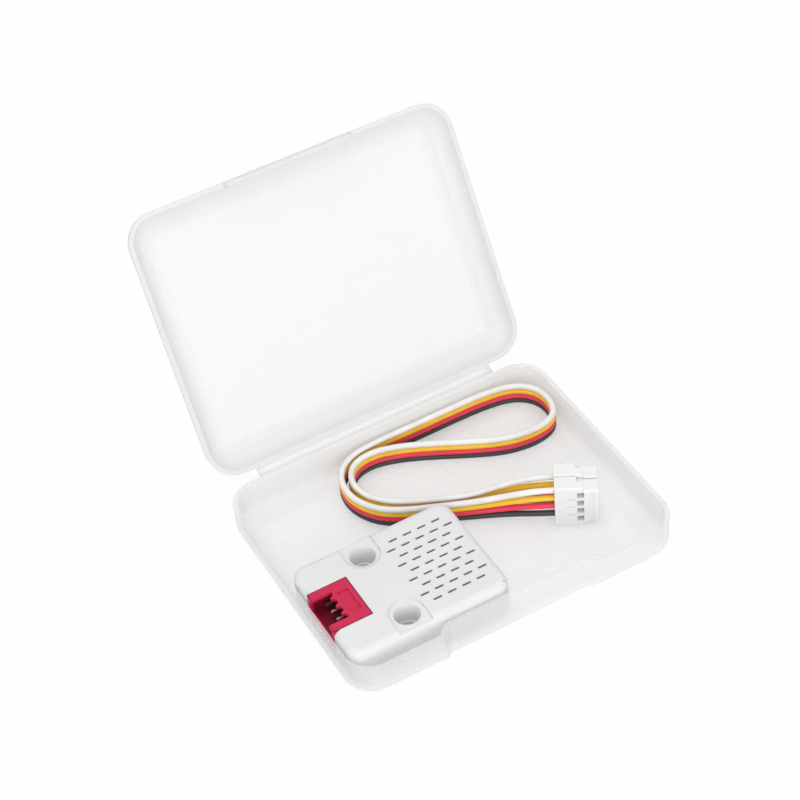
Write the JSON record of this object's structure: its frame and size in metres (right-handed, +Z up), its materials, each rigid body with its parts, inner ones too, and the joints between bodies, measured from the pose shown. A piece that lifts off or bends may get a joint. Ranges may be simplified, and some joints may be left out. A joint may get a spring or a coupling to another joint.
{
  "type": "cased environmental sensor unit with lead",
  "caption": "Small white sensor unit with a red socket, grille and through holes, in a frosted hinged case with its four-wire lead and plugs.",
  "frame": {"origin": "centre of the case's underside", "axes": "+Z up out of the open tray, +X along the hinge, +Y from the finger recess to the hinge; the lid stands open behind"},
  "size_m": [0.067, 0.0827, 0.0542],
  "materials": {
    "case_plastic": "frosted see-through polypropylene",
    "unit_plastic": "fine matt white",
    "board_laminate": "solder mask over glass laminate",
    "socket_plastic": "moulded crimson red",
    "pin_metal": "tin plate",
    "chip_plastic": "black moulding compound",
    "sensor_lid_metal": "pressed metal lid",
    "capacitor_ceramic": "tan ceramic",
    "screw_steel": "zinc plate",
    "wire_white": "satin soft insulation",
    "wire_yellow": "satin soft insulation",
    "wire_red": "satin soft insulation",
    "wire_black": "satin soft insulation",
    "plug_plastic": "natural white nylon"
  },
  "bodies": {
    "case": {"case_base": "case_plastic", "hinge_web": "case_plastic"},
    "lid": {"case_lid": "case_plastic"},
    "sensor_unit": {"top_cover": "unit_plastic", "bottom_cover": "unit_plastic", "circuit_board": "board_laminate", "socket_housing": "socket_plastic", "socket_pins": "pin_metal", "humidity_sensor": "chip_plastic", "pressure_sensor": "sensor_lid_metal", "voltage_regulator": "chip_plastic", "capacitors": "capacitor_ceramic", "resistors": "chip_plastic", "cover_screws": "screw_steel"},
    "lead": {"wire_white": "wire_white", "wire_yellow": "wire_yellow", "wire_red": "wire_red", "wire_black": "wire_black", "plug_housing_a": "plug_plastic", "plug_housing_b": "plug_plastic", "plug_contacts_a": "pin_metal", "plug_contacts_b": "pin_metal"}
  },
  "joints": [
    {"name": "lid_hinge", "type": "hinge", "parent": "case", "child": "lid", "pos_m": [0, 0.027, 0.0075], "axis": [-1, 0, 0], "range_deg": [-120.8, 59.2], "deforming": ["hinge_web"]},
    {"name": "unit_lift", "type": "slide", "parent": "case", "child": "sensor_unit", "axis": [0, 0, 1], "range_m": [0, 0.0002]},
    {"name": "lead_lift", "type": "slide", "parent": "case", "child": "lead", "axis": [0, 0, 1], "range_m": [0, 0.0002]}
  ]
}
